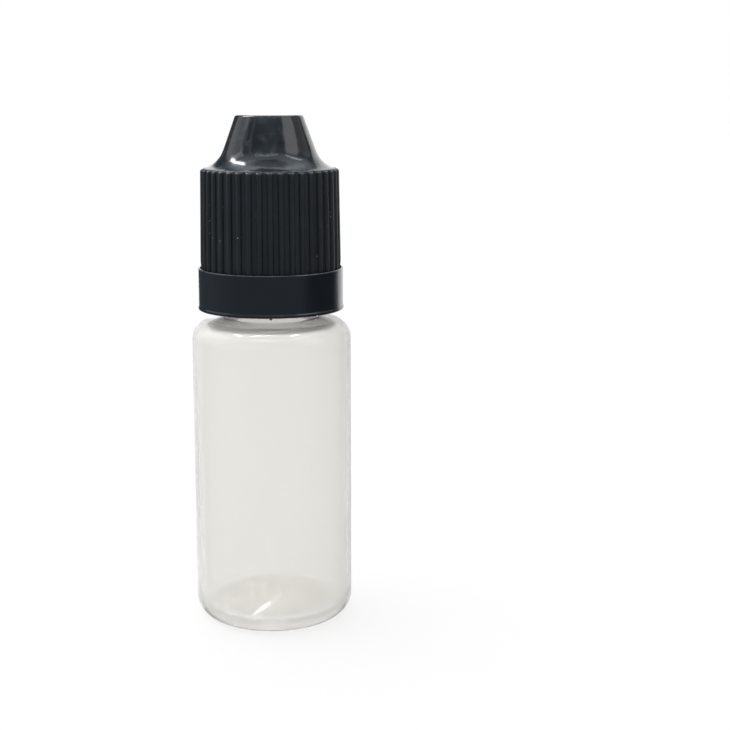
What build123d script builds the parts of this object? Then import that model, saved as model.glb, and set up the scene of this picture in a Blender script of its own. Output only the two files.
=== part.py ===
from build123d import *
from math import acos, ceil, cos, degrees, radians, sin, tan
import os

# Sizes in millimetres. The bottle stands on z = 0 with its axis on Z.

# Blown body
body_radius = 11.0
body_wall = 1.0
base_wall = 1.1
body_height = 43.0  # table to the root of the neck
heel_round = 3.0
shoulder_round = 2.8
shoulder_slope = 10.0  # degrees above level, rising to the neck
foot_width = 0.6  # flat ring that the bottle stands on
push_up = 0.8
push_up_slope_width = 0.3
seam_length = 7.0  # pinch-off weld across the base
seam_width = 0.5
seam_height = 0.3
seam_turn = 72.0  # degrees from X
band_share = 0.1  # longest band of a round, as a share of its corner's radius

# Neck
bore_radius = 4.8
neck_wall = 1.15
collar_radius = 6.6  # neck under the retaining bead
bead_radius = 7.9
bead_thickness = 0.5
bead_ramp = 1.4

thread_room = 0.6  # kept clear round the neck for the thread

# Dropper tip
flange_thickness = 1.0
flange_setback = 0.25  # inside the rim of the neck
plug_depth = 4.5
plug_wall = 0.9
plug_clearance = 0.05
seal_bead_squeeze = 0.05
seal_bead_drop = 1.8  # flange down to the middle of the bead
seal_bead_width = 0.9
nozzle_length = 9.7
nozzle_root_radius = 2.9
nozzle_tip_radius = 1.5
nozzle_bore_radius = 0.9
outlet_radius = 0.5
outlet_length = 1.0

# Inner cap
cap_clearance = 0.2  # room for the thread to the cap's bore
inner_wall = 1.0
inner_top_wall = 1.0
seat_gap = 0.1  # dropper flange to the inner cap's top
inner_skirt_length = 10.7  # underside of the top to the lower edge
inner_flange_reach = 0.65
inner_flange_height = 1.0
flange_room = 0.7  # pressed outer cap to the inner cap's flange
cap_rest_gap = 0.5  # lower edge to the neck's bead
chimney_wall = 1.0
chimney_gap = 0.3
chimney_top_wall = 1.0
pin_length = 0.85
pin_clearance = 0.12
snap_bite = 0.13  # how far the two snap beads overlap
snap_gap = 0.1
snap_ramp = 0.6
snap_rise = 4.1  # inner cap's lower edge to its snap bead

# Break-away ring
ring_radius = 9.97
ring_height = 5.7
ring_gap = 1.1  # root of the neck to the ring
ring_bore_gap = 0.35  # to the inner cap's flange
nest_depth = 0.2  # skirt of the outer cap into the ring
nest_clearance = 0.06
pawl_count = 8
pawl_span = 26.0  # degrees
pawl_overlap = 0.55  # reach under the bead
pawl_gap = 0.15
pawl_thickness = 0.65
bridge_count = 8
bridge_width = 0.4
bridge_height = 0.35
bridge_clearance = 0.07  # torn end to the ring

# Outer cap
press_travel = 1.0
stop_clearance = 0.1
outer_clearance = 0.35  # round the inner cap's wall
skirt_wall = 1.2
skirt_draft = 0.9  # degrees
rib_count = 40
rib_round = 0.42
rib_height = 0.37
rib_bands = 4
ledge_width = 0.2
ceiling_thickness = 1.7
cone_top_wall = 1.1
cone_wall = 1.3
cone_top_radius = 4.6
cone_waist_radius = 6.92
cone_waist_height = 0.78  # above the ribs
flare_round = 3.9

# Push-and-turn drive
tooth_count = 6
tooth_height = 1.3
outer_tooth_height = 1.55
tooth_gap = 0.2  # teeth clear of each other until pressed
tooth_crest = 0.6
tooth_ramp = 1.2
tooth_side_gap = 0.15
tooth_reach = 1.1
finger_count = 4
finger_height = 2.1
finger_length = 4.2
finger_width = 0.9
finger_thickness = 0.45
finger_clearance = 0.65  # to the chimney's foot

bury = 0.2  # how far an added piece runs into what carries it

# Levels and radii that follow, from the table up
ring_bottom_z = body_height + ring_gap
ring_top_z = ring_bottom_z + ring_height
skirt_bottom_z = ring_top_z - nest_depth
inner_bottom_z = skirt_bottom_z - press_travel - flange_room - inner_flange_height
bead_z = inner_bottom_z - cap_rest_gap - bead_thickness
inner_ceiling_z = inner_bottom_z + inner_skirt_length
flange_z = inner_ceiling_z - seat_gap
rim_z = flange_z - flange_thickness
nozzle_z = flange_z + nozzle_length
inner_top_z = inner_ceiling_z + inner_top_wall
chimney_top_z = nozzle_z + seat_gap + chimney_top_wall
ceiling_z = inner_top_z + tooth_height + tooth_gap + outer_tooth_height
skirt_top_z = ceiling_z + ceiling_thickness
cone_top_z = chimney_top_z + press_travel + stop_clearance + cone_top_wall
neck_radius = bore_radius + neck_wall
cap_bore_radius = neck_radius + thread_room + cap_clearance
inner_radius = cap_bore_radius + inner_wall
inner_flange_radius = inner_radius + inner_flange_reach
ring_bore_radius = inner_flange_radius + ring_bore_gap
skirt_bore_radius = inner_radius + outer_clearance
skirt_radius = skirt_bore_radius + skirt_wall
skirt_top_radius = skirt_radius - (skirt_top_z - skirt_bottom_z) * tan(radians(skirt_draft))
rib_radius = skirt_radius + rib_height
chimney_foot_radius = nozzle_root_radius + chimney_gap + chimney_wall
finger_radius = chimney_foot_radius + finger_clearance
tooth_radius = inner_radius - tooth_reach


def rounded(before, corner, after):
    # The points of a rounded corner, as bands.
    arc = FilletPolyline(before[:2], corner[:2], after[:2], radius=corner[2]).edges()[1]
    bands = ceil(arc.length / (band_share * corner[0]))
    points = [arc @ (band / bands) for band in range(bands + 1)]
    return [(point.X, point.Y) for point in points]


def turned(*corners):
    # Solid of revolution. A corner is its radius, its height and, where it has one, its round.
    points = []
    for corner, before, after in zip(corners, corners[-1:] + corners, corners[1:] + corners[:1]):
        points += [corner] if len(corner) == 2 else rounded(before, corner, after)
    return revolve(Plane.XZ * make_face(Polyline(*points, close=True)), Axis.Z)


def tube(inner, outer, bottom, top):
    return turned((inner, bottom), (outer, bottom), (outer, top), (inner, top))


def around(count, piece):
    # The piece and its copies, evenly spaced round the axis.
    return [Rot(0, 0, turn * 360 / count) * piece for turn in range(count)]


def radial_bar(profile, inner, outer):
    # A profile drawn across the X direction, drawn out along X from one radius to the other.
    face = Plane(origin=(inner, 0, 0), x_dir=(0, 1, 0), z_dir=(1, 0, 0)) * make_face(profile)
    return extrude(face, outer - inner)


def seam_bar(length, width, bottom, top):
    slot = SlotOverall(length, width, rotation=seam_turn)
    return extrude(Pos(0, 0, bottom) * slot, top - bottom)


def make_bottle():
    inside = body_radius - body_wall
    slope = tan(radians(shoulder_slope))
    outer_corner_z = body_height - (body_radius - collar_radius) * slope
    roof_z = outer_corner_z - body_wall * (1 / cos(radians(shoulder_slope)) - slope)
    floor_z = push_up + base_wall
    foot_radius = body_radius - heel_round - foot_width
    dish_radius = foot_radius - push_up_slope_width
    body = turned(
        (0, push_up),
        (dish_radius, push_up),
        (foot_radius, 0),
        (body_radius, 0, heel_round),
        (body_radius, outer_corner_z, shoulder_round),
        (collar_radius, body_height),
        (collar_radius, bead_z),
        (bead_radius, bead_z),
        (bead_radius, bead_z + bead_thickness),
        (neck_radius, bead_z + bead_thickness + bead_ramp),
        (neck_radius, rim_z),
        (bore_radius, rim_z),
        (bore_radius, roof_z),
        (inside, roof_z),
        (inside, floor_z),
        (0, floor_z),
    )
    body += seam_bar(seam_length, seam_width, push_up - seam_height, push_up + base_wall / 2)
    return body + seam_bar(seam_length, 2 * seam_width, floor_z - base_wall / 2, floor_z + seam_height)


def make_dropper_tip():
    plug_radius = bore_radius - plug_clearance
    plug_bottom_z = rim_z - plug_depth
    flange_radius = neck_radius - flange_setback
    seal_z = rim_z - seal_bead_drop
    outlet_z = nozzle_z - outlet_length
    plug_ceiling_z = rim_z - plug_wall + flange_thickness
    return turned(
        (plug_radius - plug_wall, plug_bottom_z),
        (plug_radius, plug_bottom_z),
        (plug_radius, seal_z - seal_bead_width / 2),
        (bore_radius + seal_bead_squeeze, seal_z),
        (plug_radius, seal_z + seal_bead_width / 2),
        (plug_radius, rim_z),
        (flange_radius, rim_z),
        (flange_radius, flange_z),
        (nozzle_root_radius, flange_z),
        (nozzle_tip_radius, nozzle_z),
        (outlet_radius, nozzle_z),
        (outlet_radius, outlet_z),
        (nozzle_bore_radius, outlet_z),
        (nozzle_bore_radius, plug_ceiling_z),
        (plug_radius - plug_wall, plug_ceiling_z),
    )


def make_inner_cap():
    snap_z = inner_bottom_z + snap_rise
    snap_radius = inner_radius + (outer_clearance + snap_bite) / 2
    chimney_root_bore = nozzle_root_radius + chimney_gap
    chimney_top_bore = nozzle_tip_radius + chimney_gap
    pin_radius = outlet_radius - pin_clearance
    mouth_height = bead_ramp - bead_thickness
    cap = turned(
        (bead_radius - bead_thickness + cap_clearance, inner_bottom_z),
        (inner_flange_radius, inner_bottom_z),
        (inner_flange_radius, inner_bottom_z + inner_flange_height),
        (inner_radius, inner_bottom_z + inner_flange_height),
        (inner_radius, snap_z),
        (snap_radius, snap_z),
        (inner_radius, snap_z + snap_ramp),
        (inner_radius, inner_top_z),
        (chimney_foot_radius, inner_top_z),
        (chimney_top_bore + chimney_wall, chimney_top_z),
        (0, chimney_top_z),
        (0, nozzle_z + seat_gap - pin_length),
        (pin_radius, nozzle_z + seat_gap - pin_length),
        (pin_radius, nozzle_z + seat_gap),
        (chimney_top_bore, nozzle_z + seat_gap),
        (chimney_root_bore, inner_ceiling_z),
        (cap_bore_radius, inner_ceiling_z),
        (cap_bore_radius, inner_bottom_z + mouth_height),
    )
    cap += around(tooth_count, inner_tooth())
    cap += around(bridge_count, bridge())
    return cap


def inner_tooth():
    # Drive tooth on the inner cap's top: steep on one side, a ramp on the other.
    profile = Polyline(
        (0, inner_top_z - inner_top_wall / 2),
        (0, inner_top_z + tooth_height),
        (tooth_crest, inner_top_z + tooth_height),
        (tooth_crest + tooth_ramp, inner_top_z - bury),
        (tooth_crest + tooth_ramp, inner_top_z - inner_top_wall / 2),
        close=True,
    )
    bar = radial_bar(profile, tooth_radius / 2, inner_radius)
    return bar & tube(tooth_radius, inner_radius - bury, 0, cone_top_z)


def bridge():
    # Torn end of one of the thin links that held the ring.
    reach = ring_bore_radius - bridge_clearance - inner_flange_radius
    middle_z = inner_bottom_z + inner_flange_height / 2
    nib = Box(reach + bury, bridge_width, bridge_height)
    return Pos(inner_flange_radius + (reach - bury) / 2, 0, middle_z) * nib


def make_tamper_ring():
    nest_radius = rib_radius + nest_clearance
    nest_floor_z = skirt_bottom_z - press_travel - stop_clearance
    ring = turned(
        (ring_bore_radius, ring_bottom_z),
        (ring_radius, ring_bottom_z),
        (ring_radius, ring_top_z),
        (nest_radius, ring_top_z),
        (nest_radius, nest_floor_z),
        (ring_bore_radius, nest_floor_z),
    )
    return ring + around(pawl_count, pawl())


def pawl():
    # Flap that hooks under the neck's bead.
    tip_radius = bead_radius - pawl_overlap
    tip_top_z = bead_z - pawl_gap
    root_radius = ring_bore_radius + bury
    outline = Polyline(
        (tip_radius, tip_top_z - pawl_thickness),
        (root_radius, ring_bottom_z + bury),
        (root_radius, ring_bottom_z + bury + pawl_thickness),
        (tip_radius, tip_top_z),
        close=True,
    )
    start = Rot(0, 0, -pawl_span / 2)
    return start * revolve(Plane.XZ * make_face(outline), Axis.Z, pawl_span)


def make_spring_fingers():
    # Sloping leaf from the inner cap's top up to the ring inside the cone.
    half = finger_length / 2
    top_z = inner_top_z + finger_height
    profile = Polyline(
        (-half, inner_top_z),
        (-half + 2 * finger_thickness, inner_top_z),
        (half, top_z - finger_thickness),
        (half, top_z),
        (half - finger_thickness, top_z),
        (-half, inner_top_z + finger_thickness),
        close=True,
    )
    leaf = radial_bar(profile, finger_radius, finger_radius + finger_width)
    return Compound(children=around(finger_count, leaf))


def outer_tooth():
    # Drive tooth inside the outer cap, steep towards the inner cap's tooth.
    bottom_z = ceiling_z - outer_tooth_height
    profile = Polyline(
        (-tooth_side_gap, ceiling_z + bury),
        (-tooth_side_gap, bottom_z),
        (-tooth_side_gap - tooth_crest, bottom_z),
        (-tooth_side_gap - tooth_crest - tooth_ramp, ceiling_z + bury),
        close=True,
    )
    bar = radial_bar(profile, tooth_radius / 2, skirt_radius)
    return bar & tube(tooth_radius, skirt_bore_radius + bury, 0, cone_top_z)


def ribbed_section(wall_radius, height):
    # The skirt's outline at one level: convex ribs, each drawn as flat bands, round the wall.
    centre = wall_radius + rib_height - rib_round
    half_arc = degrees(acos(1 - rib_height / rib_round))
    angles = [radians(half_arc * (2 * band / rib_bands - 1)) for band in range(rib_bands + 1)]
    rib = [Vector(centre + rib_round * cos(angle), rib_round * sin(angle), height) for angle in angles]
    points = [point.rotate(Axis.Z, turn * 360 / rib_count) for turn in range(rib_count) for point in rib]
    return make_face(Polyline(*points, close=True))


def make_outer_cap():
    snap_top_z = inner_bottom_z + snap_rise - snap_gap
    snap_radius = inner_radius + (outer_clearance - snap_bite) / 2
    waist_z = skirt_top_z + cone_waist_height
    cavity_top_z = cone_top_z - cone_top_wall
    finger_top_z = inner_top_z + finger_height
    skirt_ends = [ribbed_section(skirt_radius, skirt_bottom_z), ribbed_section(skirt_top_radius, skirt_top_z)]
    cap = loft(skirt_ends, ruled=True) + turned(
        (0, ceiling_z),
        (skirt_top_radius - ledge_width, ceiling_z),
        (skirt_top_radius - ledge_width, skirt_top_z),
        (cone_waist_radius, waist_z, flare_round),
        (cone_top_radius, cone_top_z),
        (0, cone_top_z),
    )
    cap -= turned(
        (0, skirt_bottom_z),
        (skirt_bore_radius, skirt_bottom_z),
        (skirt_bore_radius, snap_top_z - snap_ramp),
        (snap_radius, snap_top_z),
        (skirt_bore_radius, snap_top_z),
        (skirt_bore_radius, ceiling_z),
        (finger_radius + finger_width, ceiling_z),
        (finger_radius + finger_width, finger_top_z),
        (finger_radius, finger_top_z),
        (cone_top_radius - cone_wall, cavity_top_z),
        (0, cavity_top_z),
    )
    return cap + around(tooth_count, outer_tooth())


nodes = {
    "bottle": make_bottle(),
    "dropper_tip": make_dropper_tip(),
    "tamper_ring": make_tamper_ring(),
    "inner_cap": make_inner_cap(),
    "spring_fingers": make_spring_fingers(),
    "outer_cap": make_outer_cap(),
}

os.makedirs("parts", exist_ok=True)
for name, shape in nodes.items():
    export_step(shape, f"parts/{name}.step")
    box = shape.bounding_box()
    print(name, len(shape.solids()), "solids, z", round(box.min.Z, 2), "to", round(box.max.Z, 2))
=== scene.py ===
import bmesh
import bpy
import numpy as np
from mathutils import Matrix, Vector


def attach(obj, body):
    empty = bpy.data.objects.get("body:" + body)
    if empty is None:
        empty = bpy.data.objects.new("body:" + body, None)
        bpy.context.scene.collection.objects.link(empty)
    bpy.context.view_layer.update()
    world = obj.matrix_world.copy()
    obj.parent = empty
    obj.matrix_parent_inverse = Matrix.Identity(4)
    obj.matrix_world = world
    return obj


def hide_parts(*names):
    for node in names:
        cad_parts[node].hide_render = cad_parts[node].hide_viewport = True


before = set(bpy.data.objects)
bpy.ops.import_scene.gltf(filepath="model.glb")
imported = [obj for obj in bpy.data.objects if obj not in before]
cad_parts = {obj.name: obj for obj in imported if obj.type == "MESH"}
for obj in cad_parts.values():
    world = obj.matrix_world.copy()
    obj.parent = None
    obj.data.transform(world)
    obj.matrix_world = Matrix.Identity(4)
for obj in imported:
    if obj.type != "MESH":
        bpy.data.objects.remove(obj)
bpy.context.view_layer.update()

mm = 0.001  # sizes are written in millimetres, Blender works in metres
fullTurn = 2 * np.pi

# Shapes


def corneredOutline(corners, closed=False):
    # Straight runs joined by arcs. A corner is radius, height and round; its arc leaves both runs
    # at round / tan(half the corner's angle) from the corner, about a centre on the bisector.
    places = np.array([corner[:2] for corner in corners], float)
    rounds = [corner[2] if len(corner) > 2 else 0 for corner in corners]
    before, after = np.roll(places, 1, 0), np.roll(places, -1, 0)
    pieces = []
    for number, (place, size) in enumerate(zip(places, rounds)):
        if size == 0 or (not closed and number in (0, len(places) - 1)):
            pieces.append(place[None])
            continue
        back, ahead = before[number] - place, after[number] - place
        back, ahead = back / np.linalg.norm(back), ahead / np.linalg.norm(ahead)
        half = np.arccos(np.clip(back @ ahead, -1, 1)) / 2
        middle = (back + ahead) / np.linalg.norm(back + ahead)
        centre = place + middle * size / np.sin(half)
        first = place + back * size / np.tan(half) - centre
        last = place + ahead * size / np.tan(half) - centre
        sweep = np.arctan2(first[0] * last[1] - first[1] * last[0], first @ last)
        turns = np.linspace(0, sweep, max(4, int(np.degrees(abs(sweep)) / 8) + 2))
        cosines, sines = np.cos(turns), np.sin(turns)
        pieces.append(centre + np.stack([first[0] * cosines - first[1] * sines,
                                         first[0] * sines + first[1] * cosines], 1))
    return np.concatenate(pieces)


def divided(outline, step, closed=False, fineStep=None, fineZone=None):
    # Each run is cut into equal parts no longer than step, or than fineStep where the middle of
    # the run lies in the fine zone: lowest and highest height, least and greatest radius.
    ends = np.roll(outline, -1, 0) if closed else outline[1:]
    starts = outline if closed else outline[:-1]
    longest = np.full(len(starts), float(step))
    if fineZone:
        low, high, near, far = fineZone
        radii, heights = ((starts + ends) / 2).T
        longest[(heights > low) & (heights < high) & (radii > near) & (radii < far)] = fineStep
    counts = np.maximum(1, np.ceil(np.linalg.norm(ends - starts, axis=1) / longest)).astype(int)
    run = np.repeat(np.arange(len(counts)), counts)
    share = (np.arange(counts.sum()) - np.repeat(np.cumsum(counts) - counts, counts)) / counts[run]
    points = starts[run] + (ends - starts)[run] * share[:, None]
    return points if closed else np.concatenate([points, outline[-1:]])


def revolved(radius, height, angle, closed=False):
    # Grid of two parameters: place = (radius * cos(angle), radius * sin(angle), height). Rows
    # follow the outline and columns go round the axis.
    rows, columns = radius.shape
    points = np.stack([radius * np.cos(angle), radius * np.sin(angle), height], 2).reshape(-1, 3)
    row = np.arange(rows if closed else rows - 1)[:, None]
    column = np.arange(columns)[None]
    nextRow, nextColumn = (row + 1) % rows, (column + 1) % columns
    quads = np.stack([row * columns + column, row * columns + nextColumn,
                      nextRow * columns + nextColumn, nextRow * columns + column], 2)
    return points, quads.reshape(-1, 4).tolist()


def turned(outline, columns):
    # The outline's radius and height at every column, with the columns evenly round the axis.
    angle = np.arange(columns)[None] * fullTurn / columns
    radius = np.repeat(outline[:, :1], columns, 1)
    height = np.repeat(outline[:, 1:], columns, 1)
    return radius, height, angle


def block(across, upward, innerRadius, outerRadius, turn):
    # Outline drawn across and up, carried out from one cylinder to another: the distance out is
    # sqrt(radius squared - across squared), and the whole is turned about the axis.
    across, upward = np.array(across, float), np.array(upward, float)
    count = len(across)
    outward = np.sqrt(np.array([[innerRadius], [outerRadius]]) ** 2 - across ** 2)
    points = np.stack([outward * np.cos(turn) - across * np.sin(turn),
                       outward * np.sin(turn) + across * np.cos(turn),
                       np.stack([upward, upward])], 2).reshape(-1, 3)
    ring = list(range(count))
    sides = [[i, (i + 1) % count, (i + 1) % count + count, i + count] for i in ring]
    return points, sides + [ring[::-1], [i + count for i in ring]]


def arcBlock(outline, turn, span, columns=9):
    # An outline of radius and height, counter-clockwise, swept through part of a turn.
    angle = turn + np.linspace(-span / 2, span / 2, columns)
    outline = np.array(outline, float)
    count = len(outline)
    points = np.stack([outline[:, :1] * np.cos(angle), outline[:, :1] * np.sin(angle),
                       np.repeat(outline[:, 1:], columns, 1)], 2).reshape(-1, 3)
    row = np.arange(count)[:, None]
    column = np.arange(columns - 1)[None]
    after = (row + 1) % count
    quads = np.stack([row * columns + column, row * columns + column + 1,
                      after * columns + column + 1, after * columns + column], 2)
    first = [i * columns for i in range(count)]
    last = [i * columns + columns - 1 for i in range(count)]
    return points, quads.reshape(-1, 4).tolist() + [first, last[::-1]]


def ridge(path, turn, halfWidth, tall):
    # Pillow along an outline, half sunk in its surface: across = halfWidth * cos(v), and out along
    # the outline's normal = tall * sin(v), both tapered to the ends of the path.
    path = np.array(path, float)
    along = np.gradient(path, axis=0)
    along = along / np.linalg.norm(along, axis=1)[:, None]
    v = np.arange(12)[None] * fullTurn / 12
    taper = np.sqrt(np.sin(np.linspace(0, np.pi, len(path))))[:, None]
    radius = path[:, :1] + along[:, 1:] * tall * np.sin(v) * taper
    height = path[:, 1:] - along[:, :1] * tall * np.sin(v) * taper
    across = halfWidth * np.cos(v) * taper
    points = np.stack([radius * np.cos(turn) - across * np.sin(turn),
                       radius * np.sin(turn) + across * np.cos(turn), height], 2).reshape(-1, 3)
    quads = revolved(radius, height, v)[1]
    return points, [quad[::-1] for quad in quads]


def nub(place, size):
    # Small ball: place + size * (cos v cos u, cos v sin u, sin v), poles merged later.
    u = np.arange(12)[None] * fullTurn / 12
    v = np.linspace(-np.pi / 2, np.pi / 2, 7)[:, None]
    ball, quads = revolved(size * np.cos(v) * np.ones_like(u), size * np.sin(v) * np.ones_like(u), u)
    return ball + np.array(place), quads


def makePiece(name, surfaces, sharpAngle, body, materials, node, inside=None):
    # One mesh of several surfaces, with poles and seams merged. The materials change at the face
    # numbers in inside: faces from the first number on take the second material, and so on.
    points, faces, start = [], [], 0
    for surfacePoints, surfaceFaces in surfaces:
        points.append(surfacePoints)
        faces += [[index + start for index in face] for face in surfaceFaces]
        start += len(surfacePoints)
    mesh = bpy.data.meshes.new(name)
    mesh.from_pydata(np.concatenate(points) * mm, [], faces)
    for material in materials:
        mesh.materials.append(material)
    if inside:
        mesh.polygons.foreach_set("material_index", np.searchsorted(inside, np.arange(len(faces)), "right"))
    form = bmesh.new()
    form.from_mesh(mesh)
    bmesh.ops.remove_doubles(form, verts=form.verts, dist=0.002 * mm)
    form.to_mesh(mesh)
    form.free()
    mesh.polygons.foreach_set("use_smooth", np.ones(len(mesh.polygons), bool))
    mesh.set_sharp_from_angle(angle=np.radians(sharpAngle))
    piece = bpy.data.objects.new(name, mesh)
    bpy.context.scene.collection.objects.link(piece)
    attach(piece, body)
    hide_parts(node)
    print("made", name, "with", len(mesh.polygons), "faces")
    return piece


def smoothStep(value, low, high):
    share = np.clip((value - low) / (high - low), 0, 1)
    return share * share * (3 - 2 * share)


def threadRidge(height, angle, thread):
    # Helical ridge: t = (height - start) / pitch - angle / full turn, and the ridge stands where t
    # is near a whole number k. Along the helix it has turned k + angle / full turn times, and it
    # fades in and out over the run-out at both ends.
    t = (height - thread["start"]) / thread["pitch"] - angle / fullTurn
    whole = np.round(t)
    away = np.abs(t - whole) * thread["pitch"]
    turns = whole + angle / fullTurn
    crest, root = thread["crest"] / 2, thread["root"] / 2
    shape = 1 - smoothStep(away, crest * 0.7, root * 1.1)
    ends = smoothStep(turns, 0, thread["runOut"])
    ends = ends * (1 - smoothStep(turns, thread["turns"] - thread["runOut"], thread["turns"]))
    return thread["depth"] * shape * ends


# Shader maths


class Value:
    # An output socket, on which maths is written as in Python.

    def __init__(self, paint, socket):
        self.paint, self.socket = paint, socket

    def maths(self, operation, first, second):
        return self.paint.node("ShaderNodeMath", {"operation": operation}, {0: first, 1: second})

    def __add__(self, other):
        return self.maths("ADD", self, other)

    def __radd__(self, other):
        return self.maths("ADD", other, self)

    def __sub__(self, other):
        return self.maths("SUBTRACT", self, other)

    def __rsub__(self, other):
        return self.maths("SUBTRACT", other, self)

    def __mul__(self, other):
        return self.maths("MULTIPLY", self, other)

    def __rmul__(self, other):
        return self.maths("MULTIPLY", other, self)


class Paint:
    # The nodes of a material or of the world, and the one method that adds a node.

    def __init__(self, owner):
        self.owner = owner
        self.owner.use_nodes = True
        self.tree = self.owner.node_tree
        self.tree.nodes.clear()
        self.place = self.node("ShaderNodeTexCoord", {}, {}, "Object")
        self.across, self.depth, self.height = [
            self.node("ShaderNodeSeparateXYZ", {}, {0: self.place}, axis) for axis in "XYZ"]

    def node(self, kind, settings, inputs, output=0):
        made = self.tree.nodes.new(kind)
        for setting, value in settings.items():
            setattr(made, setting, value)
        for key, value in inputs.items():
            if isinstance(value, Value):
                self.tree.links.new(value.socket, made.inputs[key])
            else:
                made.inputs[key].default_value = value
        return Value(self, made.outputs[output]) if len(made.outputs) else None

    def between(self, value, low, high):
        # 0 at low, 1 at high, with a smooth rise between them
        return self.node("ShaderNodeMapRange", {"interpolation_type": "SMOOTHSTEP"},
                         {"Value": value, "From Min": low, "From Max": high})

    def noise(self, scale, detail=2.0, place=None):
        return self.node("ShaderNodeTexNoise", {},
                         {"Vector": place or self.place, "Scale": scale, "Detail": detail})

    def stretched(self, scale):
        return self.node("ShaderNodeMapping", {}, {"Vector": self.place, "Scale": scale})

    def blend(self, share, first, second):
        # colour mix: inputs 6 and 7 are its two colours, output 2 its result
        return self.node("ShaderNodeMix", {"data_type": "RGBA"}, {0: share, 6: first, 7: second}, 2)

    def specks(self, scale, size, share):
        # dots of the given size in a share of a Voronoi texture's cells
        cells = {"Vector": self.place, "Scale": scale}
        distance = self.node("ShaderNodeTexVoronoi", {}, cells, "Distance")
        shade = self.node("ShaderNodeTexVoronoi", {}, cells, "Color")
        chance = self.node("ShaderNodeSeparateColor", {}, {0: shade}, 0)
        return (1 - self.between(distance, size * 0.5, size)) * self.between(chance, 1 - share, 1.01 - share)

    def bump(self, height, strength, distance):
        return self.node("ShaderNodeBump", {}, {"Height": height, "Strength": strength,
                                                "Distance": distance}, "Normal")

    def finish(self, inputs):
        surface = self.node("ShaderNodeBsdfPrincipled", {}, inputs)
        self.node("ShaderNodeOutputMaterial", {}, {"Surface": surface})
        return self.owner


def newPaint(name):
    return Paint(bpy.data.materials.new(name))


naturalPlastic = {"colour": (0.96, 0.945, 0.912, 1), "thin": (0.98, 0.968, 0.942, 1), "outside": 0.68,
                  "inside": 1.0, "floor": 0.3, "weld": 0.0, "roughness": 0.14, "ior": 1.27, "coat": 0.38}


def naturalPolyethylene(name, transmission, glow=0.0):
    # Milky plastic: colour and roughness drift with a slow noise stretched along the axis
    # (the melt's flow). The inner skin lets more light through, so that the wall is milky once.
    # The weld's ridge glows by itself: a painted highlight, in place of the light that a thick edge gathers.
    paint = newPaint(name)
    flow = paint.noise(1.0, 3.0, paint.stretched((160, 160, 30)))
    grain = paint.noise(1500, 2.0)
    colour = paint.blend(flow, naturalPlastic["colour"], naturalPlastic["thin"])
    roughness = naturalPlastic["roughness"] + 0.06 * flow
    return paint.finish({
        "Base Color": colour, "Roughness": roughness, "IOR": naturalPlastic["ior"],
        "Transmission Weight": transmission, "Coat Weight": naturalPlastic["coat"], "Coat Roughness": 0.03,
        "Emission Color": colour, "Emission Strength": glow,
        "Normal": paint.bump(flow + grain * 0.01, 0.1, 0.0003)})


# The pale grey is painted as a highlight on the ring's lip and the rib tops, and the cone's haze takes a
# little of it.
blackPlastic = {"colour": (0.0045, 0.007, 0.0105, 1), "worn": (0.0085, 0.012, 0.0165, 1),
                "paintedHighlight": (0.075, 0.085, 0.095, 1), "dust": (0.42, 0.43, 0.44, 1)}


def blackSatin():
    # Moulded black plastic: roughness drifts slowly, a fine grain roughens it, a few dust specks.
    paint = newPaint("blackSatin")
    drift, grain = paint.noise(220, 3.0), paint.noise(2600, 2.0)
    dust = paint.specks(1500, 0.1, 0.05)
    colour = paint.blend(drift * 0.6, blackPlastic["colour"], blackPlastic["worn"])
    return paint.finish({
        "Base Color": paint.blend(dust * 0.6, colour, blackPlastic["dust"]),
        "Roughness": 0.27 + 0.1 * drift + 0.08 * grain + 0.3 * dust,
        "IOR": 1.5, "Normal": paint.bump(grain * 0.5 + drift, 0.25, 0.00012)})


def blackRing():
    # Smooth moulded ring: low gloss with slow waves, its upper lip painted a little pale as a highlight,
    # broken by the grain.
    paint = newPaint("blackRing")
    drift, grain = paint.noise(160, 3.0), paint.noise(2200, 2.0)
    wave = paint.noise(1.0, 2.0, paint.stretched((260, 260, 60)))
    # Painted highlight: a pale band along the lip's top edge, where the edge catches the light, broken by
    # the grain.
    paintedHighlight = paint.between(paint.height, 49.66 * mm, 49.74 * mm) * paint.between(grain, 0.2, 0.6)
    dust = paint.specks(1900, 0.12, 0.015)
    colour = paint.blend(drift, blackPlastic["colour"], blackPlastic["worn"])
    colour = paint.blend(paintedHighlight * 0.8, colour, blackPlastic["paintedHighlight"])
    return paint.finish({
        "Base Color": paint.blend(dust * 0.6, colour, blackPlastic["dust"]),
        "Roughness": 0.13 + 0.12 * drift + 0.04 * grain + 0.3 * dust, "IOR": 1.5,
        "Normal": paint.bump(wave + grain * 0.02, 0.3, 0.0003)})


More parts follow.
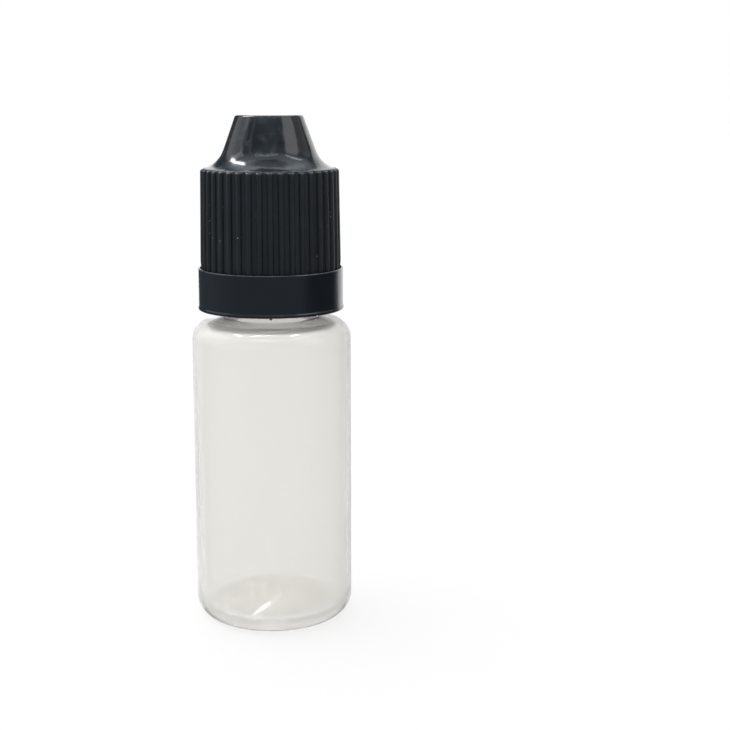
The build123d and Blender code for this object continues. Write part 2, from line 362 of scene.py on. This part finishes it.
def blackCap():
    # The cone is polished and the ribs are matte: the roughness follows the height. The tops of
    # the ribs are painted pale as a highlight, broken by the grain, and dust sits between them.
    paint = newPaint("blackCap")
    drift, grain = paint.noise(260, 3.0), paint.noise(2600, 2.0)
    wave = paint.noise(1.0, 2.0, paint.stretched((420, 420, 90)))
    polished = paint.between(paint.height, 63.25 * mm, 63.5 * mm)
    # Painted highlight: a pale band along the rib tops, just below the polished cone.
    paintedHighlight = paint.between(paint.height, 63.0 * mm, 63.12 * mm) * (1 - polished)
    paintedHighlight = paintedHighlight * paint.between(grain, 0.35, 0.6)
    dust = paint.specks(2100, 0.2, 0.12) * (1 - 0.8 * polished)
    dust = dust * paint.between(paint.noise(170), 0.5, 0.7)
    haze = paint.between(paint.noise(700, 4.0), 0.5, 0.8) * polished
    colour = paint.blend(drift, blackPlastic["colour"], blackPlastic["worn"])
    # The rib tops' painted highlight and a little of the cone's haze pale the colour.
    colour = paint.blend(paintedHighlight * 0.7 + haze * 0.2, colour, blackPlastic["paintedHighlight"])
    matte = 0.34 + 0.12 * drift + 0.08 * grain
    gloss = 0.12 + 0.06 * drift + 0.12 * haze
    return paint.finish({
        "Base Color": paint.blend(dust * 0.8, colour, blackPlastic["dust"]),
        "Roughness": polished * gloss + (1 - polished) * matte + 0.3 * dust, "IOR": 1.5,
        "Normal": paint.bump(wave + 0.08 * grain * (1 - polished), 0.35, 0.0003)})


milky = naturalPolyethylene("naturalPolyethylene", naturalPlastic["outside"])
milkyInside = naturalPolyethylene("naturalPolyethyleneInside", naturalPlastic["inside"])
milkyFloor = naturalPolyethylene("naturalPolyethyleneFloor", naturalPlastic["floor"])
# The weld's material glows: a painted highlight on the weld's ridge.
milkyWeldHighlight = naturalPolyethylene("naturalPolyethyleneWeldHighlight", naturalPlastic["weld"], 1.0)
satin, ringBlack, capBlack = blackSatin(), blackRing(), blackCap()
print("materials ready")

# Bottle
bottle = {"columns": 280, "bodyRadius": 11.0, "insideRadius": 10.0, "pushUp": 0.8, "foot": 7.4, "floor": 1.9,
          "heelRound": 3.0, "shoulder": 42.22, "shoulderRound": 2.8, "root": 43.0, "collar": 6.6,
          "beadRadius": 7.9, "bead": 45.9, "neckRadius": 5.95, "rim": 56.5, "bore": 4.8, "roof": 41.385,
          "seamTurn": np.radians(72), "seamRise": 0.012, "weldTurn": np.radians(250),
          "weldReach": (1.9, 8.6), "weldHalfWidth": 0.32, "weldRise": 0.3}
neckThread = {"start": 50.4, "pitch": 2.5, "turns": 1.75, "depth": 0.6, "root": 1.3, "crest": 0.7,
              "runOut": 0.12}


def makeBottle():
    # Outline from the middle of the base, up the outside, over the rim and down the inside to
    # the middle of the floor, with the thread added to the neck's radius. The inner wall is
    # uneven by sums of sines, and the parting line is a bell curve of sin(angle - its turn).
    b = bottle
    outline = corneredOutline([
        (0, b["pushUp"]), (b["foot"] - 0.3, b["pushUp"], 0.2), (b["foot"], 0, 0.12),
        (b["bodyRadius"], 0, b["heelRound"]),
        (b["bodyRadius"], b["shoulder"], b["shoulderRound"]), (b["collar"], b["root"], 0.35),
        (b["collar"], b["bead"], 0.15), (b["beadRadius"], b["bead"], 0.12),
        (b["beadRadius"], b["bead"] + 0.5, 0.2), (b["neckRadius"], b["bead"] + 1.9, 0.3),
        (b["neckRadius"], b["rim"], 0.25), (b["bore"], b["rim"], 0.2),
        (b["bore"], b["roof"] + 0.9, 0.7), (b["insideRadius"], b["roof"], 1.9),
        (b["insideRadius"], b["floor"], 2.1), (0, b["floor"])])
    onNeck = (b["bead"] + 2.2, b["rim"] - 0.5, b["neckRadius"] - 0.05, b["neckRadius"] + 0.05)
    outline = divided(outline, 1.1, fineStep=0.09, fineZone=onNeck)
    radius, height, angle = turned(outline, b["columns"])
    low, high, near, far = onNeck
    neck = (height > low) & (height < high) & (radius > near) & (radius < far)
    radius = radius + np.where(neck, threadRidge(height, angle, neckThread), 0)
    walls = (height > 4) & (height < 40)
    uneven = 0.02 * np.sin(3 * angle + 0.09 * height) + 0.015 * np.sin(5 * angle - 0.21 * height)
    parting = b["seamRise"] * np.exp(-(np.sin(angle - b["seamTurn"]) / 0.02) ** 2)
    radius = radius + np.where(walls, np.where(radius < 10.5, uneven, parting), 0)
    rimRow = np.argmax((outline[:, 1] > b["rim"] - 0.01) & (outline[:, 0] < b["bore"] + 0.5))
    floorRow = np.argmax((np.arange(len(outline)) > rimRow) & (outline[:, 1] < b["floor"] + 0.3))
    inside = [int(row) * b["columns"] for row in (rimRow, floorRow, len(outline) - 1)]
    onFloor = outline[floorRow - 3:][::-1]
    reach = np.linspace(*b["weldReach"], 24)
    floorPath = np.stack([reach, np.interp(reach, onFloor[:, 0], onFloor[:, 1])], 1)
    under = np.stack([np.linspace(-3.5, 3.5, 20), np.full(20, b["pushUp"])], 1)
    surfaces = [revolved(radius, height, angle),
                ridge(floorPath[::-1], b["weldTurn"], b["weldHalfWidth"], b["weldRise"]),
                ridge(under, b["seamTurn"], 0.25, 0.25)]
    return makePiece("bottleBody", surfaces, 40, "bottle_body",
                     (milky, milkyInside, milkyFloor, milkyWeldHighlight), "bottle", inside)


bottleBody = makeBottle()

# Dropper tip
dropper = {"columns": 144, "plugRadius": 4.75, "plugBottom": 52.0, "plugBore": 3.85, "plugCeiling": 56.6,
           "seal": 54.7, "sealRadius": 4.85, "flange": 5.7, "flangeBottom": 56.5, "flangeTop": 57.5,
           "rootRadius": 2.9, "tipRadius": 1.5, "top": 67.2, "bore": 0.9, "outlet": 0.5}


def makeDropperTip():
    # Closed outline, from the plug's mouth up the outside to the tip and down the bore.
    d = dropper
    outline = corneredOutline([
        (d["plugBore"], d["plugBottom"], 0.2), (d["plugRadius"], d["plugBottom"], 0.4),
        (d["plugRadius"], d["seal"] - 0.45, 0.2), (d["sealRadius"], d["seal"], 0.3),
        (d["plugRadius"], d["seal"] + 0.45, 0.2), (d["plugRadius"], d["flangeBottom"], 0.05),
        (d["flange"], d["flangeBottom"], 0.15), (d["flange"], d["flangeTop"], 0.25),
        (d["rootRadius"], d["flangeTop"], 0.4), (d["tipRadius"], d["top"], 0.35),
        (d["outlet"], d["top"], 0.1), (d["outlet"], d["top"] - 1, 0.1), (d["bore"], d["top"] - 1.2, 0.1),
        (d["bore"], d["plugCeiling"], 0.3), (d["plugBore"], d["plugCeiling"], 0.3)], closed=True)
    radius, height, angle = turned(divided(outline, 1.2, closed=True), d["columns"])
    return makePiece("dropperTip", [revolved(radius, height, angle, closed=True)], 40, "bottle_body",
                     (milky,), "dropper_tip")


makeDropperTip()

# Break-away ring
ring = {"columns": 240, "bore": 8.75, "radius": 9.97, "lip": 10.05, "bottom": 44.1, "top": 49.8,
        "nest": 9.73, "nestFloor": 48.5, "pawls": 8, "pawlSpan": np.radians(26),
        "pawl": [(7.35, 45.1), (8.95, 44.3), (8.95, 44.95), (7.35, 45.75)],
        "flash": [(-90.5, 0.2), (-71, 0.09), (-117, 0.1), (-124, 0.08), (12, 0.14), (96, 0.16), (171, 0.1)]}


def makeRing():
    # Closed outline of the band, a little out of round, with pawls inside and flash under its lip.
    r = ring
    outline = corneredOutline([
        (r["bore"], r["bottom"], 0.1), (r["lip"], r["bottom"], 0.14), (r["lip"], r["bottom"] + 0.35, 0.1),
        (r["radius"], r["bottom"] + 0.5, 0.1), (r["radius"], r["top"], 0.15), (r["nest"], r["top"], 0.04),
        (r["nest"], r["nestFloor"], 0.05), (r["bore"], r["nestFloor"], 0.1)], closed=True)
    radius, height, angle = turned(divided(outline, 0.7, closed=True), r["columns"])
    outside = smoothStep(radius, 9.9, 9.96)
    radius = radius + outside * 0.015 * np.sin(2 * angle + 0.8)
    surfaces = [revolved(radius, height, angle, closed=True)]
    surfaces += [arcBlock(r["pawl"], fullTurn * k / r["pawls"], r["pawlSpan"]) for k in range(r["pawls"])]
    surfaces += [nub((r["lip"] * np.cos(np.radians(turn)), r["lip"] * np.sin(np.radians(turn)),
                      r["bottom"] + 0.02), size) for turn, size in r["flash"]]
    return makePiece("breakAwayRing", surfaces, 35, "ring_body", (ringBlack,), "tamper_ring")


breakAwayRing = makeRing()

# Inner cap
inner = {"columns": 240, "bottom": 46.9, "mouth": 7.6, "bore": 6.75, "wall": 7.75, "flange": 8.4,
         "snap": 51.0, "snapRadius": 7.99, "ceiling": 57.6, "deck": 58.6, "chimneyFoot": 4.2,
         "chimneyTop": 2.8, "top": 68.3, "pin": 0.38, "pinEnd": 66.45, "pinRoot": 67.3,
         "chimneyBore": 1.8, "chimneyMouth": 3.2, "teeth": 6, "toothInner": 6.65, "bridges": 8}
capThread = {"start": 49.4, "pitch": 2.5, "turns": 1.5, "depth": 0.6, "root": 1.3, "crest": 0.7,
             "runOut": 0.12}


def makeInnerCap():
    # Outline from the pin's end, out and down the bore, round the flange and up the outside. The
    # thread is taken off the bore's radius.
    c = inner
    outline = corneredOutline([
        (0, c["pinEnd"]), (c["pin"], c["pinEnd"], 0.1), (c["pin"], c["pinRoot"], 0.1),
        (c["chimneyBore"], c["pinRoot"], 0.2), (c["chimneyMouth"], c["ceiling"], 0.1),
        (c["bore"], c["ceiling"], 0.3), (c["bore"], 47.8, 0.2), (c["mouth"], c["bottom"], 0.1),
        (c["flange"], c["bottom"], 0.15), (c["flange"], c["bottom"] + 1, 0.15),
        (c["wall"], c["bottom"] + 1, 0.1), (c["wall"], c["snap"], 0.05), (c["snapRadius"], c["snap"], 0.08),
        (c["wall"], c["snap"] + 0.6, 0.2), (c["wall"], c["deck"], 0.3), (c["chimneyFoot"], c["deck"], 0.4),
        (c["chimneyTop"], c["top"], 0.35), (0, c["top"])])
    inBore = (48.0, 55.0, c["bore"] - 0.05, c["bore"] + 0.05)
    radius, height, angle = turned(divided(outline, 1.1, fineStep=0.1, fineZone=inBore), c["columns"])
    low, high, near, far = inBore
    boreWall = (height > low) & (height < high) & (radius > near) & (radius < far)
    radius = radius - np.where(boreWall, threadRidge(height, angle, capThread), 0)
    surfaces = [revolved(radius, height, angle)]
    across = [0, 0.6, 1.87, 1.87, 0]
    upward = [c["deck"] + 1.3, c["deck"] + 1.3, c["deck"] - 0.1, c["deck"] - 0.5, c["deck"] - 0.5]
    surfaces += [block(across[::-1], upward[::-1], c["toothInner"], c["wall"] - 0.2,
                       fullTurn * k / c["teeth"]) for k in range(c["teeth"])]
    surfaces += [block([-0.2, 0.2, 0.2, -0.2], [47.23, 47.23, 47.57, 47.57], c["flange"] - 0.2, 8.68,
                       fullTurn * k / c["bridges"]) for k in range(c["bridges"])]
    return makePiece("innerCap", surfaces, 35, "inner_cap_body", (satin,), "inner_cap")


makeInnerCap()

# Outer cap
outer = {"ribs": 40, "ribRound": 0.42, "ribHeight": 0.37, "ribFade": 0.36, "bore": 8.1, "bottom": 49.6,
         "skirtRadius": 9.3, "skirtTop": 63.35, "skirtTopRadius": 9.084, "ledge": 8.884, "waist": 6.92,
         "waistHeight": 64.13, "flare": 3.9, "topRadius": 4.6, "top": 70.5, "ceiling": 61.65,
         "snap": 50.9, "snapRadius": 7.86, "fingerFloor": 60.7, "fingerIn": 4.85, "fingerOut": 5.75,
         "cavityTop": 69.4, "teeth": 6}


def makeOuterCap():
    # Outline from the top of the cavity down the inside and up the outside. On the skirt a rib's
    # height, sqrt(round squared - across squared) - (round - height), is added to the radius.
    c = outer
    outline = corneredOutline([
        (0, c["cavityTop"]), (3.3, c["cavityTop"], 0.5), (c["fingerIn"], c["fingerFloor"], 0.1),
        (c["fingerOut"], c["fingerFloor"], 0.05), (c["fingerOut"], c["ceiling"], 0.05),
        (c["bore"], c["ceiling"], 0.2), (c["bore"], c["snap"], 0.03), (c["snapRadius"], c["snap"], 0.05),
        (c["bore"], c["snap"] - 0.6, 0.1), (c["bore"], c["bottom"], 0.1),
        (c["skirtRadius"], c["bottom"], 0.08), (c["skirtTopRadius"], c["skirtTop"], 0.1),
        (c["ledge"], c["skirtTop"], 0.03), (c["waist"], c["waistHeight"], c["flare"]),
        (c["topRadius"], c["top"], 0.4), (0, c["top"])])
    outline = divided(outline, 1.3)
    firstRow = np.argmin(np.abs(outline - (c["skirtRadius"], c["bottom"] + 0.1)).sum(1))
    lastRow = np.argmin(np.abs(outline - (c["skirtTopRadius"], c["skirtTop"] - 0.1)).sum(1))
    skirt = outline[firstRow:lastRow + 1]
    tops = c["skirtTop"] - 0.1 - c["ribFade"] * (1 - np.sin(np.linspace(0, np.pi / 2, 8)))
    heights = np.concatenate([np.linspace(skirt[0, 1], tops[0], 14)[:-1], tops])
    radii = np.interp(heights, skirt[:, 1], skirt[:, 0])
    outline = np.concatenate([outline[:firstRow], np.stack([radii, heights], 1), outline[lastRow + 1:]])
    weight = np.zeros(len(outline))
    rows = slice(firstRow, firstRow + len(heights))
    rise = np.clip((heights - tops[0]) / c["ribFade"], 0, 1)
    foot = np.clip((heights - skirt[0, 1]) / 0.12, 0, 1)
    weight[rows] = np.sqrt(np.clip(1 - rise ** 2, 0, 1)) * (0.75 + 0.25 * foot)
    halfWidth = np.sqrt(c["ribRound"] ** 2 - (c["ribRound"] - c["ribHeight"]) ** 2)
    pitch = fullTurn / c["ribs"]
    onRib = halfWidth * np.sin(np.linspace(-np.pi / 2, np.pi / 2, 9))
    valley = np.linspace(halfWidth, pitch * c["skirtRadius"] - halfWidth, 5)[1:-1]
    across = np.concatenate([onRib, valley])
    ribShape = np.sqrt(np.clip(c["ribRound"] ** 2 - across ** 2, 0, None)) - (c["ribRound"] - c["ribHeight"])
    ribShape = np.clip(ribShape, 0, None)
    angle = (np.arange(c["ribs"])[:, None] * pitch + across / c["skirtRadius"]).reshape(1, -1)
    columns = angle.shape[1]
    radius = outline[:, :1] + weight[:, None] * np.tile(ribShape, c["ribs"])[None]
    height = np.repeat(outline[:, 1:], columns, 1)
    surfaces = [revolved(radius, height, angle)]
    across = [-0.15, -0.75, -2.12, -2.12, -0.15]
    upward = [60.1, 60.1, c["ceiling"] + 0.2, c["ceiling"] + 0.5, c["ceiling"] + 0.5]
    surfaces += [block(across[::-1], upward[::-1], inner["toothInner"], 8.3, fullTurn * k / c["teeth"])
                 for k in range(c["teeth"])]
    return makePiece("outerCap", surfaces, 32, "outer_cap_body", (capBlack,), "outer_cap")


outerCap = makeOuterCap()

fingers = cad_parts["spring_fingers"]
fingers.data.materials.clear()
fingers.data.materials.append(satin)
print("fingers painted")

# Floor, light and camera
studio = {"floorColour": (0.24, 0.24, 0.24, 1), "floorGlow": 0.74, "whiteSeen": 1.0, "ambient": 0.8,
          "through": 1.05, "shadedThrough": 0.42, "shadedAmbient": 0.35, "key": 1.5,
          "keyTurn": -125, "keyRise": 62, "keySpread": 80, "roomGloss": 0.26, "skyBand": 4.5,
          "roomTint": (0.85, 0.98, 1.06, 1)}


def makeFloor():
    # Level ground, cut into a few strips.
    x, y = np.linspace(-3, 3, 7), np.linspace(-3, 5, 9)
    points = np.stack([np.tile(x, len(y)), np.repeat(y, len(x)), np.zeros(len(x) * len(y))], 1)
    i = np.arange(len(y) - 1)[:, None] * len(x)
    j = np.arange(len(x) - 1)[None]
    quads = np.stack([i + j, i + j + 1, i + j + len(x) + 1, i + j + len(x)], 2).reshape(-1, 4)
    mesh = bpy.data.meshes.new("floor")
    mesh.from_pydata(points, [], quads.tolist())
    paint = newPaint("paleFloor")
    mesh.materials.append(paint.finish({
        "Base Color": studio["floorColour"], "Specular IOR Level": 0.0, "Emission Color": (1, 1, 1, 1),
        "Emission Strength": studio["floorGlow"], "Roughness": 0.7 + 0.1 * paint.noise(8)}))
    floor = bpy.data.objects.new("floor", mesh)
    floor.visible_glossy = False  # the black cap mirrors a dark room, not the pale floor
    bpy.context.scene.collection.objects.link(floor)


def facing(azimuth, rise, distance, aim):
    # Place at a distance from the aim, and the turn that looks at it. Azimuth 0 is the camera's
    # side.
    turn, lift = np.radians(azimuth), np.radians(rise)
    away = Vector((np.sin(turn) * np.cos(lift), -np.cos(turn) * np.cos(lift), np.sin(lift)))
    return Vector(aim) + away * distance, (-away).to_track_quat("-Z", "Y").to_euler()


def softbox(name, azimuth, rise, width, tall, brightness, lit=None, distance=0.45, aim=(0, 0, 0.06)):
    # Panel that only shows as a gloss, on the lit pieces where they are given. Its
    # power = brightness * pi * area.
    lamp = bpy.data.lights.new(name, "AREA")
    lamp.shape, lamp.size, lamp.size_y = "RECTANGLE", width, tall
    lamp.energy = brightness * np.pi * width * tall
    panel = bpy.data.objects.new(name, lamp)
    panel.location, panel.rotation_euler = facing(azimuth, rise, distance, aim)
    panel.visible_camera = panel.visible_diffuse = panel.visible_transmission = False
    bpy.context.scene.collection.objects.link(panel)
    if lit:
        group = bpy.data.collections.new(name + "Lit")
        for piece in lit:
            group.objects.link(piece)
        panel.light_linking.receiver_collection = group


def keyLight():
    lamp = bpy.data.lights.new("key", "SUN")
    lamp.energy, lamp.angle = studio["key"], np.radians(studio["keySpread"])
    key = bpy.data.objects.new("key", lamp)
    key.location, key.rotation_euler = facing(studio["keyTurn"], studio["keyRise"], 1.0, (0, 0, 0))
    key.visible_glossy = False
    bpy.context.scene.collection.objects.link(key)


def makeWorld():
    # White to the camera and through the plastic. The gloss sees a dim room instead, darker to
    # the right and behind, with a brighter band overhead.
    world = bpy.data.worlds.new("studio")
    bpy.context.scene.world = world
    paint = Paint(world)
    seen, through, gloss = [paint.node("ShaderNodeLightPath", {}, {}, ray) for ray in (
        "Is Camera Ray", "Is Transmission Ray", "Is Glossy Ray")]
    mirrored = gloss * (1 - through)
    shaded = paint.between(paint.across, 0.22, 0.8)  # the studio is darker to the right
    level = studio["ambient"] * (1 - seen) * (1 - through) * (1 - mirrored)
    level = level * (1 - studio["shadedAmbient"] * shaded) + studio["whiteSeen"] * seen
    level = level + through * (studio["through"] - studio["shadedThrough"] * shaded)
    band = paint.between(paint.height, 0.55, 0.8) * (1 - paint.between(paint.height, 0.9, 0.97))
    aside = 1 - 0.9 * paint.between(paint.across, 0.72, 0.92)
    room = aside * (1 - 0.6 * paint.between(paint.depth, 0.2, 0.8)) + studio["skyBand"] * band
    level = level + mirrored * studio["roomGloss"] * room
    tint = paint.blend(mirrored, (1, 1, 1, 1), studio["roomTint"])
    sky = paint.node("ShaderNodeBackground", {}, {"Color": tint, "Strength": level})
    paint.node("ShaderNodeOutputWorld", {}, {"Surface": sky})


makeFloor()
makeWorld()
keyLight()
softbox("leftPanel", -102, 20, 0.42, 0.26, 0.9)
softbox("leftHigh", -98, 38, 0.30, 0.09, 2.0)
softbox("leftGlint", -118, 50, 0.08, 0.2, 22, [outerCap])
softbox("leftStreak", -56, 28, 0.010, 0.24, 2.4)
softbox("rightPanel", 64, 26, 0.27, 0.24, 2.0)
softbox("rightSoft", 100, 20, 0.30, 0.24, 0.5)
softbox("frontBar", -10, 50, 0.38, 0.010, 10)
softbox("rightBar", 76, 51, 0.32, 0.012, 12)
softbox("overStrip", 0, 80, 0.22, 0.03, 30, [bottleBody], aim=(-0.06, 0, 0.06))
softbox("overLeft", 0, 80, 0.04, 0.14, 30, [bottleBody], aim=(-0.27, 0.07, 0.06))
softbox("overRight", 0, 80, 0.05, 0.10, 30, [bottleBody], aim=(0.17, 0.03, 0.06))
softbox("leftEdge", -150, 0, 0.5, 0.6, 0.8, [bottleBody])
softbox("rightEdge", 158, 0, 0.5, 0.6, 0.6, [bottleBody])
softbox("capEdge", 163, 0, 0.55, 0.6, 1.5, [outerCap, breakAwayRing])
softbox("overPanel", 180, 80, 0.5, 0.4, 0.6)

view = {"place": (0, -0.203, 0.0755), "turn": 0.064, "tilt": 0.1927, "lens": 72.8}
lens = bpy.data.cameras.new("camera")
lens.lens, lens.sensor_width = view["lens"], 36
lens.clip_start = 0.01
camera = bpy.data.objects.new("camera", lens)
camera.location = view["place"]
forward = Vector((np.sin(view["turn"]) * np.cos(view["tilt"]), np.cos(view["turn"]) * np.cos(view["tilt"]),
                  -np.sin(view["tilt"])))
camera.rotation_euler = forward.to_track_quat("-Z", "Y").to_euler()
bpy.context.scene.collection.objects.link(camera)
bpy.context.scene.camera = camera
bpy.context.scene.view_settings.view_transform = "Standard"
print("studio ready")
